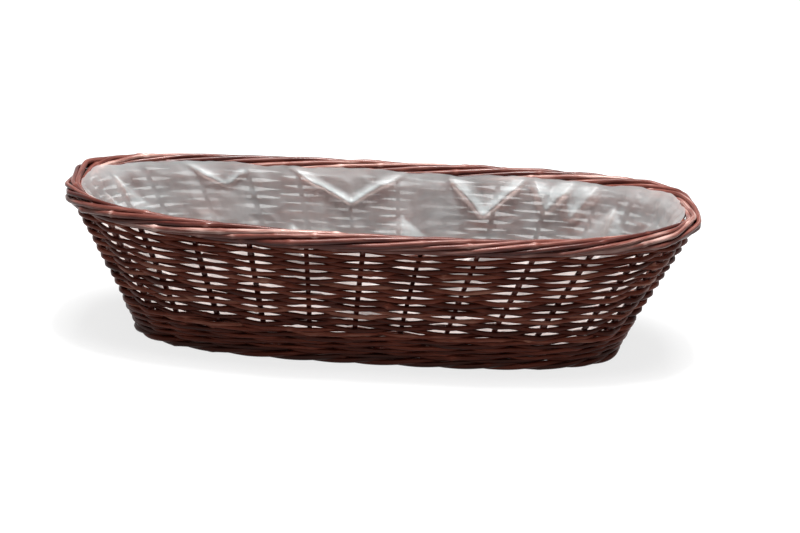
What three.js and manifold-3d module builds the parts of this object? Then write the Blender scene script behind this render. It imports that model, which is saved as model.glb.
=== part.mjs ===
// Long oval planter woven from stained willow rods, with a film liner.
// Millimetres, +Z up. The origin is on the floor under the middle, and +X runs along the length.
import * as THREE from "three";
import { mergeVertices } from "three/addons/utils/BufferGeometryUtils.js";
import Module from "manifold-3d";

// Form of the planter
const RIM_HALF_LENGTH = 291; // middle of the rolled border
const RIM_HALF_WIDTH = 96;
const RIM_HEIGHT = 137; // middle of the border above the floor, halfway along a long side
const RIM_END_RISE = 8; // the border is this much higher at the two ends
const BASE_HALF_LENGTH = 233; // where the stakes turn up out of the base
const BASE_HALF_WIDTH = 64;
const BASE_HEIGHT = 9; // middle of the base sticks above the floor
const OVAL_POWER = 2.8; // 2 would be an ellipse, more is squarer
const STAKE_LEAN = 14; // the stakes lean this far round the rim, in the direction of the weave

// Rods
const CLEARANCE = 0.3; // between rods that lie against each other
const TURN_ROOM = 0.8; // more room where a rod turns round another
const STAKE_RADIUS = 2.3;
const WEAVER_RADIUS = 1.75;
const WALE_RADIUS = 2.2;
const FOOT_RADIUS = 2.2;
const BASE_WEAVER_RADIUS = 1.6;
const CROSS_STICK_RADIUS = 3.8;
const LONG_STICK_RADIUS = 1.9;

// Stakes
const SIDE_STAKES = 10; // on each long side
const END_STAKES = 5; // round each end
const END_GAP_SHARE = 0.667; // gap between end stakes, as a share of the gap between side stakes
const STAKE_TAIL = 15; // length that lies beside a base stick
const FOOT_BEND = 9; // reach of the bend at the base
const RIM_BEND = 5; // reach of the bend under the border
const BORDER_RUN = 6; // each stake runs along the border past this many others
const BORDER_RADIUS = 7; // middle of the border to the middle of its rods

// Side weave
const WALE_RODS = 3;
const WALE_ROUNDS = 2;
const WALE_START = 7.4; // up the slope from the base to the first row
const WALE_PITCH = 2 * WALE_RADIUS + 0.65;
const WEAVER_RODS = 2;
const WEAVER_ROUNDS = 11;
const WEAVE_END = 13.5; // down the slope from the middle of the border to the last row
const SEAM_STAKE = 10; // the rods of a row start and step up here, on the back

// Foot
const FOOT_RODS = 3;
const FOOT_OUT = 2.4; // middle of the twisted foot out from the bend of the stakes
const FOOT_FLAT = 0.5; // depth cut off the foot where it stands
const FOOT_TWIST = 3.15; // middle of the twisted foot to the middle of its rods
const FOOT_SEAM = 1.2; // gap between the two ends of a foot rod

// Base
const STICK_END = 3.5; // from the edge of the base to the end of a stick
const RING_ROUNDS = 1;
const RING_EDGE = 9.8; // from the edge of the base to the outermost row
const RING_PITCH = 2 * BASE_WEAVER_RADIUS + 0.5;
const PACK_ROWS = 6;
const FAN_START = 12; // from the last cross stick to where the long sticks spread

// Liner
const LINER_THICKNESS = 0.6;
const LINER_TOP = 7; // down the slope from the middle of the border
const LINER_COLUMNS = 64;
const LINER_FOLD = 3.6; // depth of the folds at the top edge
const LINER_FOLDS = 16;

const STAKES = 2 * (SIDE_STAKES + END_STAKES);
const UP = new THREE.Vector3(0, 0, 1);
const willow = { color: 0x5a2a1a, roughness: 0.42, metalness: 0 };
const darkWillow = { color: 0x46190f, roughness: 0.45, metalness: 0 };
const film = { color: 0xb9b4b2, roughness: 0.3, metalness: 0 };

// Squared oval whose height follows its length
class Oval extends THREE.Curve {
  constructor(halfLength, halfWidth, height, endRise) {
    super();
    this.halfLength = halfLength;
    this.halfWidth = halfWidth;
    this.height = height;
    this.endRise = endRise;
    this.arcLengthDivisions = 2400;
  }

  getPoint(t, target = new THREE.Vector3()) {
    const angle = 2 * Math.PI * t;
    const along = Math.sign(Math.cos(angle)) * Math.abs(Math.cos(angle)) ** (2 / OVAL_POWER);
    const across = Math.sign(Math.sin(angle)) * Math.abs(Math.sin(angle)) ** (2 / OVAL_POWER);
    const height = this.height + this.endRise * along * along;
    return target.set(this.halfLength * along, this.halfWidth * across, height);
  }

  // Point at a share of the way round, counted on past one turn as well
  around(share) {
    return this.getPointAt(share - Math.floor(share));
  }
}

// Path of a rod that bends at numbered points
class RodPath extends THREE.Curve {
  constructor(points) {
    super();
    this.points = points;
  }

  getUtoTmapping(u) {
    return u;
  }

  getPoint(t, target = new THREE.Vector3()) {
    const at = t * (this.points.length - 1);
    const first = Math.min(Math.floor(at + 1e-6), this.points.length - 2);
    return target.lerpVectors(this.points[first], this.points[first + 1], at - first);
  }

  getTangent(t, target = new THREE.Vector3()) {
    const last = this.points.length - 1;
    const k = Math.round(t * last);
    const here = this.points[k];
    const before = here.clone().sub(this.points[Math.max(k - 1, 0)]).normalize();
    const after = this.points[Math.min(k + 1, last)].clone().sub(here).normalize();
    return target.copy(before.add(after)).normalize();
  }
}

function rod(points, radius, sides) {
  const corners = [];
  for (let s = 0; s < sides; s += 1) {
    const angle = (2 * Math.PI * s) / sides;
    corners.push(new THREE.Vector2(radius * Math.cos(angle), radius * Math.sin(angle)));
  }
  return new THREE.ExtrudeGeometry(new THREE.Shape(corners), {
    steps: points.length - 1,
    bevelEnabled: false,
    extrudePath: new RodPath(points),
  });
}

function bend(corner, from, to, reach) {
  const start = corner.clone().addScaledVector(from, reach);
  const end = corner.clone().addScaledVector(to, reach);
  return new THREE.QuadraticBezierCurve3(start, corner, end).getPoints(3);
}

const wasm = await Module();
wasm.setup();

function toManifold(geometry) {
  geometry.deleteAttribute("normal");
  geometry.deleteAttribute("uv");
  const merged = mergeVertices(geometry, 1e-4);
  return new wasm.Manifold(
    new wasm.Mesh({
      numProp: 3,
      vertProperties: new Float32Array(merged.attributes.position.array),
      triVerts: new Uint32Array(merged.index.array),
    }),
  );
}

function fromManifold(solid) {
  const mesh = solid.getMesh();
  const geometry = new THREE.BufferGeometry();
  geometry.setAttribute("position", new THREE.BufferAttribute(new Float32Array(mesh.vertProperties), 3));
  geometry.setIndex(new THREE.BufferAttribute(new Uint32Array(mesh.triVerts), 1));
  return geometry;
}

function subtract(geometry, cutter) {
  return fromManifold(toManifold(geometry).subtract(toManifold(cutter)));
}

const planter = new THREE.Group();
planter.name = "wicker_planter";

function piece(name, geometry, finish) {
  const mesh = new THREE.Mesh(geometry, new THREE.MeshStandardMaterial(finish));
  mesh.name = name;
  planter.add(mesh);
}

function numbered(name, index) {
  return `${name}_${String(index + 1).padStart(2, "0")}`;
}

// Where the stakes stand, as shares of the way round from the middle of the right end
function stakeStations() {
  const whole = 2 * (SIDE_STAKES - 1) + 2 * (END_STAKES + 1) * END_GAP_SHARE;
  const stations = [];
  for (const half of [0, 0.5]) {
    for (let e = 0; e < END_STAKES; e += 1) {
      stations.push(half + ((e - (END_STAKES - 1) / 2) * END_GAP_SHARE) / whole);
    }
    const firstSide = ((END_STAKES + 1) / 2) * END_GAP_SHARE;
    for (let s = 0; s < SIDE_STAKES; s += 1) {
      stations.push(half + (firstSide + s) / whole);
    }
  }
  return stations;
}

const baseOval = new Oval(BASE_HALF_LENGTH, BASE_HALF_WIDTH, BASE_HEIGHT, 0);
const rimOval = new Oval(RIM_HALF_LENGTH, RIM_HALF_WIDTH, RIM_HEIGHT, RIM_END_RISE);
const lean = STAKE_LEAN / rimOval.getLength();
const stations = stakeStations();

function stationAt(count) {
  const turns = Math.floor(count / STAKES);
  return stations[count - turns * STAKES] + turns;
}

// The wall is ruled with the lines of the stakes, from the base up to the middle of the border
function wall(share) {
  const foot = baseOval.around(share);
  const top = rimOval.around(share + lean);
  const up = top.clone().sub(foot);
  const slope = up.length();
  up.divideScalar(slope);
  const step = 0.002;
  const ahead = baseOval.around(share + step).lerp(rimOval.around(share + lean + step), 0.5);
  const behind = baseOval.around(share - step).lerp(rimOval.around(share + lean - step), 0.5);
  const out = ahead.sub(behind).cross(up).normalize();
  return { foot, top, up, out, slope };
}

const walls = stations.map(wall);

function wallAt(count) {
  return walls[((count % STAKES) + STAKES) % STAKES];
}

// Point at a distance up the slope of a stake and out from it
function onWall(line, upSlope, outward) {
  return line.foot.clone().addScaledVector(line.up, upSlope).addScaledVector(line.out, outward);
}

// Ribs of the base: each stake's tail lies beside the end of a stick
const sideStation = (index) => index % (SIDE_STAKES + END_STAKES) >= END_STAKES;
const lastCross = Math.max(...walls.filter((line, i) => sideStation(i)).map((line) => line.foot.x));
const longPitch = 2 * LONG_STICK_RADIUS + CLEARANCE + TURN_ROOM;

function rib(index) {
  const corner = walls[index].foot;
  const side = sideStation(index);
  const radius = side ? CROSS_STICK_RADIUS : LONG_STICK_RADIUS;
  const beside = radius + STAKE_RADIUS + CLEARANCE;
  const rank = (index % (SIDE_STAKES + END_STAKES)) - (END_STAKES - 1) / 2;
  const end = Math.sign(corner.x);
  const aim = side
    ? new THREE.Vector3(corner.x, 0, BASE_HEIGHT)
    : new THREE.Vector3(end * (lastCross + FAN_START), end * rank * longPitch, BASE_HEIGHT);
  const inward = aim.clone().sub(corner);
  const far = inward.length();
  inward.divideScalar(far).applyAxisAngle(UP, Math.asin(beside / far));
  const sideways = inward.clone().cross(UP);
  const stickEnd = corner.clone().addScaledVector(inward, STICK_END).addScaledVector(sideways, beside);
  return { corner, radius, beside, aim, inward, sideways, stickEnd };
}

const ribs = stations.map((share, index) => rib(index));

// Stakes: tail in the base, upright, and a run along the rolled border
function borderPoint(count, passed) {
  const line = wallAt(count + passed);
  const angle = (2 * Math.PI * passed) / (BORDER_RUN + 1);
  return line.top
    .clone()
    .addScaledVector(line.up, -BORDER_RADIUS * Math.cos(angle))
    .addScaledVector(line.out, BORDER_RADIUS * Math.sin(angle));
}

function stakePoints(index) {
  const line = walls[index];
  const { corner, inward } = ribs[index];
  const points = [corner.clone().addScaledVector(inward, STAKE_TAIL)];
  points.push(...bend(corner, inward, line.up, FOOT_BEND));
  const underBorder = borderPoint(index, 0);
  const along = borderPoint(index, 1).sub(underBorder).normalize();
  points.push(...bend(underBorder, line.up.clone().negate(), along, RIM_BEND));
  for (let passed = 1; passed <= BORDER_RUN; passed += 1) {
    points.push(borderPoint(index, passed));
  }
  return points;
}

for (let i = 0; i < STAKES; i += 1) {
  piece(numbered("stake", i), rod(stakePoints(i), STAKE_RADIUS, 5), willow);
}

// Base sticks: cross sticks split open in the middle, with the long sticks pushed through
const slotWidth = END_STAKES * longPitch + CLEARANCE;
const slotHeight = 2 * (LONG_STICK_RADIUS + CLEARANCE);
const firstSide = END_STAKES;
for (let s = 0; s < SIDE_STAKES; s += 1) {
  const back = ribs[firstSide + s];
  const front = ribs[ribs.length - 1 - s];
  const stick = rod([back.stickEnd, front.stickEnd], CROSS_STICK_RADIUS, 8);
  const slot = new THREE.BoxGeometry(4 * CROSS_STICK_RADIUS, slotWidth, slotHeight);
  slot.translate(back.aim.x, 0, BASE_HEIGHT);
  piece(numbered("cross_stick", s), subtract(stick, slot), darkWillow);
}

for (let e = 0; e < END_STAKES; e += 1) {
  const right = ribs[e];
  const left = ribs[STAKES / 2 + END_STAKES - 1 - e];
  const points = [right.stickEnd, right.aim, left.aim, left.stickEnd];
  piece(numbered("long_stick", e), rod(points, LONG_STICK_RADIUS, 6), darkWillow);
}

// Rows round the outer part of the base, over one rib and under the next
function ringPoints(first) {
  const points = [];
  for (let k = 0; k < RING_ROUNDS * STAKES; k += 1) {
    const { corner, radius, beside, inward, sideways } = ribs[(k + SEAM_STAKE) % STAKES];
    const row = first + 2 * Math.floor(k / STAKES);
    const inset = RING_EDGE + RING_PITCH * (2 * RING_ROUNDS - 1 - row);
    const over = (k + first) % 2 === 0 ? 1 : -1;
    const tail = corner.clone().addScaledVector(inward, inset);
    const stick = tail.clone().addScaledVector(sideways, beside);
    const room = BASE_WEAVER_RADIUS + CLEARANCE + 1.2 * TURN_ROOM;
    points.push(tail.addScaledVector(UP, over * (STAKE_RADIUS + room)));
    points.push(stick.addScaledVector(UP, over * (radius + room)));
  }
  return points;
}

for (let first = 0; first < 2; first += 1) {
  piece(numbered("base_weaver", first), rod(ringPoints(first), BASE_WEAVER_RADIUS, 4), darkWillow);
}

// Packed rows to and fro over the cross sticks, on each side of the long sticks
function packPoints(side) {
  const points = [];
  const level = CROSS_STICK_RADIUS + BASE_WEAVER_RADIUS + CLEARANCE + TURN_ROOM / 2;
  const nearest = slotWidth / 2 + BASE_WEAVER_RADIUS + CLEARANCE;
  const sticks = ribs.slice(firstSide, firstSide + SIDE_STAKES);
  for (let row = 0; row < PACK_ROWS; row += 1) {
    const order = row % 2 === 0 ? sticks : [...sticks].reverse();
    const travel = row % 2 === 0 ? -1 : 1;
    order.forEach(({ corner, aim, inward }, j) => {
      const farthest = corner.y - RING_EDGE - 2 * RING_ROUNDS * RING_PITCH - 2 * TURN_ROOM;
      const across = side * (nearest + ((farthest - nearest) * row) / (PACK_ROWS - 1));
      const x = aim.x + (inward.x / inward.y) * across;
      const over = (j + row * sticks.length) % 2 === 0 ? 1 : -1;
      points.push(new THREE.Vector3(x, across, BASE_HEIGHT + over * level));
    });
    const last = points[points.length - 1];
    const rise = last.z - BASE_HEIGHT;
    for (const height of row < PACK_ROWS - 1 ? [0.6, -0.6] : []) {
      const turn = last.clone();
      turn.x += travel * level * 1.04;
      turn.y += (side * RING_PITCH * (1 - height)) / 2;
      turn.z = BASE_HEIGHT + rise * height;
      points.push(turn);
    }
  }
  return points;
}

piece("base_packing_back", rod(packPoints(1), BASE_WEAVER_RADIUS, 4), darkWillow);
piece("base_packing_front", rod(packPoints(-1), BASE_WEAVER_RADIUS, 4), darkWillow);

// Foot: three rods twisted together under the bends of the stakes, cut flat where they stand
const floorCut = new THREE.BoxGeometry(4 * RIM_HALF_LENGTH, 4 * RIM_HALF_WIDTH, 20);
floorCut.translate(0, 0, -10);
const footStep = Math.PI / FOOT_RODS; // turn of the twist in half a gap between stakes
const footHeight = FOOT_TWIST * Math.cos(footStep / 2) + FOOT_RADIUS - FOOT_FLAT;

function footPoint(share, turn) {
  const step = 0.002;
  const ahead = baseOval.around(share + step).sub(baseOval.around(share - step));
  const out = ahead.cross(UP).normalize();
  return baseOval
    .around(share)
    .addScaledVector(out, FOOT_OUT + FOOT_TWIST * Math.cos(turn))
    .setZ(footHeight + FOOT_TWIST * Math.sin(turn));
}

function footPoints(strand) {
  const points = [];
  for (let half = 0; half <= 2 * STAKES; half += 1) {
    const from = stationAt(Math.floor(half / 2) + SEAM_STAKE);
    const to = stationAt(Math.ceil(half / 2) + SEAM_STAKE);
    const turn = (2 * strand + half) * footStep;
    points.push(footPoint((from + to) / 2, turn));
  }
  const last = points.length - 1;
  const back = points[last - 1].clone().sub(points[last]).normalize();
  points[last].addScaledVector(back, FOOT_SEAM);
  return points;
}

for (let strand = 0; strand < FOOT_RODS; strand += 1) {
  const strandRod = rod(footPoints(strand), FOOT_RADIUS, 4);
  piece(numbered("foot_rod", strand), subtract(strandRod, floorCut), darkWillow);
}

// Rows of the wall: a rod passes the stakes one by one, and steps up at the seam after each round
function rowPoints(rounds, rise, heightOf, outwardOf) {
  const points = [];
  for (let k = 0; k < rounds * STAKES; k += 1) {
    const line = wallAt(k + SEAM_STAKE);
    points.push(onWall(line, heightOf(line, rise * Math.floor(k / STAKES)), outwardOf(k)));
  }
  return points;
}

// Waling: in front of two stakes and behind one
const waleReach = STAKE_RADIUS + WALE_RADIUS + CLEARANCE + 2.1 * TURN_ROOM;
for (let first = 0; first < WALE_RODS; first += 1) {
  const points = rowPoints(
    WALE_ROUNDS,
    WALE_RODS,
    (line, row) => WALE_START + WALE_PITCH * (first + row),
    (k) => ((k + first) % WALE_RODS === 1 ? -waleReach : waleReach),
  );
  piece(numbered("wale_rod", first), rod(points, WALE_RADIUS, 4), willow);
}

// Randing: in front of one stake and behind the next, two weavers in turn
const weaverReach = STAKE_RADIUS + WEAVER_RADIUS + CLEARANCE + TURN_ROOM / 2;
const waleTop = WALE_START + WALE_PITCH * (WALE_RODS * WALE_ROUNDS - 1);
const weaveStart = waleTop + WALE_RADIUS + WEAVER_RADIUS + CLEARANCE;
const weaverRows = WEAVER_RODS * WEAVER_ROUNDS;
for (let first = 0; first < WEAVER_RODS; first += 1) {
  const points = rowPoints(
    WEAVER_ROUNDS,
    WEAVER_RODS,
    (line, row) => {
      const share = (first + row) / (weaverRows - 1);
      return weaveStart + (line.slope - WEAVE_END - weaveStart) * share;
    },
    (k) => ((k + first) % 2 === 0 ? weaverReach : -weaverReach),
  );
  piece(numbered("side_weaver", first), rod(points, WEAVER_RADIUS, 4), willow);
}

// Liner: a film tub that lies on the base and against the inside of the weave, folded along its top
const linerInset = waleReach + WALE_RADIUS + CLEARANCE;
const linerFloor = BASE_HEIGHT + CROSS_STICK_RADIUS + 2 * (BASE_WEAVER_RADIUS + CLEARANCE) + TURN_ROOM;
const linerRows = [0, 0.15, 0.5, 0.8, 1];

function linerPoint(share, upShare, layer) {
  const line = wall(share);
  const low = (linerFloor - BASE_HEIGHT) / line.up.z + 1;
  const upSlope = low + (line.slope - LINER_TOP - low) * upShare;
  const fold = LINER_FOLD * upShare ** 2 * (0.5 - 0.5 * Math.cos(2 * Math.PI * LINER_FOLDS * share));
  return onWall(line, upSlope, -linerInset - fold - layer * LINER_THICKNESS);
}

function linerGeometry() {
  const rows = [];
  for (const layer of [0, 1]) {
    const level = linerFloor + layer * LINER_THICKNESS;
    const floor = [0, 0.94].map((spread) => ({ layer, level, spread }));
    const sides = linerRows.map((upShare) => ({ layer, upShare }));
    rows.push(...(layer === 0 ? [...floor, ...sides] : [...sides.reverse(), ...floor.reverse()]));
  }
  const profile = rows.map((row, j) => new THREE.Vector2(row.spread === 0 ? 0 : 1, j));
  const tub = new THREE.LatheGeometry(profile, LINER_COLUMNS);
  const position = tub.attributes.position;
  for (let k = 0; k < position.count; k += 1) {
    const column = Math.floor(k / rows.length) % LINER_COLUMNS;
    const { layer, level, spread, upShare } = rows[k % rows.length];
    const share = column / LINER_COLUMNS;
    const point = linerPoint(share, upShare ?? 0, layer);
    if (spread !== undefined) {
      point.multiplyScalar(spread).setZ(level);
    }
    position.setXYZ(k, point.x, point.y, point.z);
  }
  return tub;
}

piece("film_liner", linerGeometry(), film);

export default planter;
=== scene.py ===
"""Long oval planter woven from stained willow rods, with a film liner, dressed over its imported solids."""
import math

import bpy
import numpy as np
from mathutils import Matrix


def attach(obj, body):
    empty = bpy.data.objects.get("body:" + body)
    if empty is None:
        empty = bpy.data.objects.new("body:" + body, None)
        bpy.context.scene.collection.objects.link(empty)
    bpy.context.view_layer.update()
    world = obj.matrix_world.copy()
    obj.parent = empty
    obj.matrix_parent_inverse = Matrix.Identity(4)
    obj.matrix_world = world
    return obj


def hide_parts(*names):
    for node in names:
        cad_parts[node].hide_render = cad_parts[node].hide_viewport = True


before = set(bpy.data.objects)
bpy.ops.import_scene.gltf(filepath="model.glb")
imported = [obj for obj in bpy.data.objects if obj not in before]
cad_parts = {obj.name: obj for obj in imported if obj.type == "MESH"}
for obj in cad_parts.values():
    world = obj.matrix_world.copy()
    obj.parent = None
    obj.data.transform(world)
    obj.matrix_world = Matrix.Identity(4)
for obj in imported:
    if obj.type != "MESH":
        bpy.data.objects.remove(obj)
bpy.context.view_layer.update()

SEED = 2718
rng = np.random.default_rng(SEED)

# Form of the planter, in metres, as in the solids
RIM_HALF = (0.291, 0.096)
RIM_HEIGHT = 0.137
RIM_END_RISE = 0.008
BASE_HALF = (0.233, 0.064)
BASE_HEIGHT = 0.009
OVAL_POWER = 2.8
STAKE_LEAN = 0.014
STAKE_RADIUS = 0.0023
SIDE_STAKES = 10
END_STAKES = 5
HALF_STAKES = SIDE_STAKES + END_STAKES
STAKES = 2 * HALF_STAKES
END_GAP_SHARE = 0.667
# the stake at which the wale, the foot and the rings of the base start
SEAM_STAKE = 10

# Points round an oval, share of the way round that gives its direction, points of a rod between two stakes
OVAL_STEPS = 40000
OVAL_STEP = 0.002
GAP_STEPS = 14

UP = np.array([0.0, 0.0, 1.0])
LEVEL = np.array([1.0, 1.0, 0.0])


def unit(vectors):
    """Vectors divided by their lengths."""
    return vectors / np.linalg.norm(vectors, axis=-1, keepdims=True)


def dot(a, b):
    """Sum of products along the last axis, kept as a column."""
    return np.sum(a * b, axis=-1, keepdims=True)


def clamped(values):
    """Values held between 0 and 1."""
    return np.clip(values, 0.0, 1.0)


def bell(offset, width):
    """Bell curve: 1 in the middle, and about a third at the width."""
    return np.exp(-((offset / width) ** 2))


def run_length(points):
    """Distance walked along a line of points, at each of them."""
    return np.concatenate([[0.0], np.cumsum(np.linalg.norm(np.diff(points, axis=0), axis=1))])


def between(at, known, rows):
    """Rows that are given at known places, read at other places between them."""
    return np.stack([np.interp(at, known, column) for column in rows.T], axis=-1)


def wander(x, wave, height=1.0):
    """Slow random drift along x, about -height to height: three sine waves with random starts, each shorter
    and lower than the one before."""
    waves = (1.0, 2.3, 4.1)
    usual_peak = 1.5
    starts = rng.uniform(0.0, 2.0 * np.pi, len(waves))
    total = sum(np.sin(2.0 * np.pi * x * m / wave + s) / m for m, s in zip(waves, starts))
    return height * total / usual_peak


# The wall that the rods are woven on

def squared_oval(angle, half, height, end_rise):
    """x and y are the half sizes times the signed 2/power of cosine and sine, and z rises with x squared."""
    along, across = (np.sign(v) * np.abs(v) ** (2.0 / OVAL_POWER) for v in (np.cos(angle), np.sin(angle)))
    return np.stack([half[0] * along, half[1] * across, height + end_rise * along * along], axis=-1)


def walked(half, height, end_rise):
    """The oval as a function of the share of its length walked from the +X end, and its whole length."""
    angle = np.linspace(0.0, 2.0 * np.pi, OVAL_STEPS + 1)
    length = run_length(squared_oval(angle, half, height, end_rise))

    def around(share):
        at = np.interp(np.mod(share, 1.0) * length[-1], length, angle)
        return squared_oval(at, half, height, end_rise)

    return around, length[-1]


base_oval = walked(BASE_HALF, BASE_HEIGHT, 0.0)[0]
rim_oval, rim_length = walked(RIM_HALF, RIM_HEIGHT, RIM_END_RISE)
LEAN = STAKE_LEAN / rim_length


def half_stations():
    """Shares of the way round at which the stakes of one half stand: an end, closer together, then a side."""
    whole = 2.0 * (SIDE_STAKES - 1) + 2.0 * (END_STAKES + 1) * END_GAP_SHARE
    end = (np.arange(END_STAKES) - (END_STAKES - 1) / 2.0) * END_GAP_SHARE
    side = (END_STAKES + 1) / 2.0 * END_GAP_SHARE + np.arange(SIDE_STAKES)
    return np.concatenate([end, side]) / whole


STATIONS = np.concatenate([half_stations(), half_stations() + 0.5])


def station(count):
    """Share of the way round at a stake number, with numbers between stakes and past one turn."""
    turns = np.arange(-3, 5)
    table = (STATIONS[None, :] + turns[:, None]).ravel()
    return np.interp(count, np.arange(len(table)) + turns[0] * STAKES, table)


def wall(share):
    """Foot, top, up, out and slope of the straight line from the base oval to the middle of the border."""
    share = np.asarray(share, dtype=float)
    foot = base_oval(share)
    top = rim_oval(share + LEAN)
    up = unit(top - foot)
    slope = np.linalg.norm(top - foot, axis=-1, keepdims=True)
    ahead = base_oval(share + OVAL_STEP) + rim_oval(share + LEAN + OVAL_STEP)
    behind = base_oval(share - OVAL_STEP) + rim_oval(share + LEAN - OVAL_STEP)
    return foot, top, up, unit(np.cross(ahead - behind, up)), slope


def eased(value_at, count):
    """Value at a stake number: from one stake's value to the next stake's, partly straight and partly by
    half a cosine wave, as a rod bends most at the stakes."""
    bent = 0.45
    rounding = 1e-9
    before = np.floor(count + rounding)
    gap = count - before
    part = (1.0 - bent) * gap + bent * (0.5 - 0.5 * np.cos(np.pi * gap))
    return value_at(before) + (value_at(before + 1.0) - value_at(before)) * part


# Rods, with sizes in metres

ROD_SIDES = 8
# buds: nearest and farthest spacing, how far the row is set back, half length, highest swelling, and how much
# paler a swelling is
BUD_GAPS = (0.03, 0.07)
BUD_SETBACK = 0.02
BUD_LENGTH = 0.003
BUD_SWELL = 0.40
BUD_PALENESS = 0.9
# an end face stands out by the edge, and its rim is a share of the rod's radius
END_EDGE = 0.00035
END_RIM = 0.8
# each rod's pattern starts somewhere in this length
GRAIN_LENGTH = 20.0
POINT_DATA = (("tone", "FLOAT", "value"), ("cut", "FLOAT", "value"), ("grain", "FLOAT_VECTOR", "vector"))


def resampled(points, spacing, window):
    """Points at equal steps along a line of points, each then averaged with its neighbours by a Hann
    window."""
    reach = run_length(points)
    even = between(np.linspace(0.0, reach[-1], int(reach[-1] / spacing) + 1), reach, points)
    half = int(window / spacing / 2.0)
    weight = np.hanning(2 * half + 3)[1:-1]
    weight = weight / weight.sum()
    start = 2.0 * even[0] - even[half:0:-1]
    end = 2.0 * even[-1] - even[-2:-half - 2:-1]
    padded = np.concatenate([start, even, end])
    return np.stack([np.convolve(column, weight, "valid") for column in padded.T], axis=-1)


def knotted(path, radius):
    """Radius with small swellings at the buds: bells about 6 mm long and of differing heights."""
    reach = run_length(path)
    count = int(reach[-1] / BUD_GAPS[0]) + 2
    buds = np.cumsum(rng.uniform(*BUD_GAPS, count)) - BUD_SETBACK
    heights = BUD_SWELL * rng.uniform(0.0, 1.0, count) ** 2
    return radius * (1.0 + bell(reach[:, None] - buds[None, :], BUD_LENGTH) @ heights)


def rod_faces(rings, sides):
    """Faces of a rod by point numbers: quads between its rings, and a fan of triangles at each end."""
    here = np.arange(sides)
    after = (here + 1) % sides
    first = np.arange(rings - 1)[:, None] * sides
    quads = np.stack([first + here, first + after, first + sides + after, first + sides + here], axis=-1)
    middle = rings * sides
    last = middle - sides
    start_cap = np.stack([np.full(sides, middle), after, here], axis=-1)
    end_cap = np.stack([np.full(sides, middle + 1), last + here, last + after], axis=-1)
    return quads.reshape(-1, 4), np.concatenate([start_cap, end_cap])


def rod(path, normal, radius, tone, sides=ROD_SIDES):
    """A round profile carried along a path: each path point gets a ring of points in the plane across the
    path, counted from the normal. Each end closes with a smaller ring and a middle point. Grain holds the
    distance along the rod and the place in its section, tone is its shade, paler at the buds, and cut is 1 on
    the end faces."""
    plain = np.broadcast_to(radius, len(path))
    radius = knotted(path, plain)
    tone = tone + BUD_PALENESS * (radius / plain - 1.0)
    tangent = unit(np.gradient(path, axis=0))
    normal = unit(normal - tangent * dot(normal, tangent))
    side = np.cross(tangent, normal)
    path = np.concatenate([path[:1] - tangent[:1] * END_EDGE, path, path[-1:] + tangent[-1:] * END_EDGE])
    radius = np.concatenate([radius[:1] * END_RIM, radius, radius[-1:] * END_RIM])
    normal, side, tone = (np.concatenate([v[:1], v, v[-1:]]) for v in (normal, side, tone))
    angle = 2.0 * np.pi * np.arange(sides) / sides
    across = radius[:, None] * np.cos(angle)
    beside = radius[:, None] * np.sin(angle)
    points = path[:, None, :] + across[..., None] * normal[:, None, :] + beside[..., None] * side[:, None, :]
    along = run_length(path) + rng.uniform(0.0, GRAIN_LENGTH)
    grain = np.stack([np.broadcast_to(along[:, None], across.shape), across, beside], axis=-1)
    end_grain = np.array([[along[0], 0.0, 0.0], [along[-1], 0.0, 0.0]])
    cut = np.zeros(len(path) * sides + 2)
    cut[:sides] = 1.0
    cut[-sides - 2:] = 1.0
    quads, tris = rod_faces(len(path), sides)
    return {
        "points": np.concatenate([points.reshape(-1, 3), path[[0, -1]]]),
        "quads": quads,
        "tris": tris,
        "grain": np.concatenate([grain.reshape(-1, 3), end_grain]),
        "tone": np.concatenate([tone.repeat(sides), tone[[0, -1]]]),
        "cut": cut,
    }


def joined(surfaces):
    """Several surfaces as one: their arrays end to end, with the face corners counted on."""
    counts = np.cumsum([0] + [len(s["points"]) for s in surfaces])
    whole = {key: np.concatenate([s[key] for s in surfaces]) for key in ("points", "grain", "tone", "cut")}
    for key in ("quads", "tris"):
        whole[key] = np.concatenate([s[key] + n for s, n in zip(surfaces, counts)])
    return whole


def add_piece(name, surface, material, slot, *nodes):
    """Puts a surface's arrays into a mesh object that rides on the body and stands for the nodes."""
    mesh = bpy.data.meshes.new(name)
    mesh.vertices.add(len(surface["points"]))
    mesh.vertices.foreach_set("co", surface["points"].ravel())
    quads, tris = surface["quads"], surface["tris"]
    corners = np.concatenate([quads.ravel(), tris.ravel()]).astype(np.int32)
    starts = np.concatenate([4 * np.arange(len(quads)), 4 * len(quads) + 3 * np.arange(len(tris))])
    mesh.loops.add(len(corners))
    mesh.loops.foreach_set("vertex_index", corners)
    mesh.polygons.add(len(starts))
    mesh.polygons.foreach_set("loop_start", starts.astype(np.int32))
    mesh.update(calc_edges=True)
    mesh.polygons.foreach_set("use_smooth", np.ones(len(starts), dtype=bool))
    for key, kind, field in POINT_DATA:
        values = mesh.attributes.new(key, kind, "POINT")
        values.data.foreach_set(field, surface[key].astype(np.float32).ravel())
    mesh.materials.append(material)
    piece = bpy.data.objects.new(name, mesh)
    bpy.context.scene.collection.objects.link(piece)
    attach(piece, "root")
    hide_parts(*nodes)
    return piece


def add_willow(name, surface, material, slot):
    """A willow piece, named for the node that it stands for."""
    add_piece("willow_" + name, surface, material, slot, name)


def numbered(name, index):
    """Name of a node in a row of like nodes, which count from 01."""
    return f"{name}_{index + 1:02d}"


# Materials

def srgb(code):
    """Hex colour as linear red, green, blue and alpha."""
    values = [int(code[i:i + 2], 16) / 255.0 for i in (1, 3, 5)]
    return [v / 12.92 if v <= 0.04045 else ((v + 0.055) / 1.055) ** 2.4 for v in values] + [1.0]


def emptied(owner):
    """Node tree of a material or a world, with nothing in it."""
    owner.use_nodes = True
    owner.node_tree.nodes.clear()
    return owner.node_tree


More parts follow.
